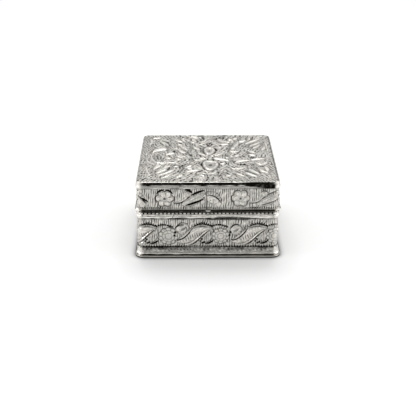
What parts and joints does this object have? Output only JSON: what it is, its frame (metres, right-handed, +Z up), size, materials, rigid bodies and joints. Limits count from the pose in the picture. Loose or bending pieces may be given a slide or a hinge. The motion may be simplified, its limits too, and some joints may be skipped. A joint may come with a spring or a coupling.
{
  "type": "engraved silver box",
  "caption": "Small square keepsake box in chased silver, with a deep hinged lid, a beaded rim, moulded edges and a hollow foot moulding.",
  "frame": {"origin": "middle of the box's underside, on the surface that it stands on", "axes": "+Z up, -Y to the front with the thumb lip, +Y to the hinge at the back, +X to the right seen from the front"},
  "size_m": [0.0626, 0.0633, 0.035],
  "materials": {
    "chased_silver": "chased and engraved silver, dark tarnish left in the cuts",
    "bright_silver": "hand-polished silver, softly worn",
    "plain_silver": "plain satin silver"
  },
  "bodies": {
    "base": {"base_plate": "plain_silver", "base_band": "chased_silver", "foot_moulding": "bright_silver", "base_rim_moulding": "bright_silver", "base_rim_beading": "bright_silver", "bezel": "plain_silver", "base_bearer": "bright_silver", "hinge_pin": "plain_silver", "base_knuckle_1": "bright_silver", "base_knuckle_3": "bright_silver", "base_knuckle_5": "bright_silver", "base_knuckle_7": "bright_silver"},
    "lid": {"lid_plate": "chased_silver", "lid_band": "chased_silver", "lid_cornice": "bright_silver", "lid_rim_wire": "bright_silver", "lid_bearer": "bright_silver", "thumb_lip": "bright_silver", "lid_knuckle_2": "bright_silver", "lid_knuckle_4": "bright_silver", "lid_knuckle_6": "bright_silver"}
  },
  "joints": [
    {"name": "lid_hinge", "type": "hinge", "parent": "base", "child": "lid", "pos_m": [0, 0.0309, 0.0213], "axis": [-1, 0, 0], "range_deg": [0, 100]}
  ]
}
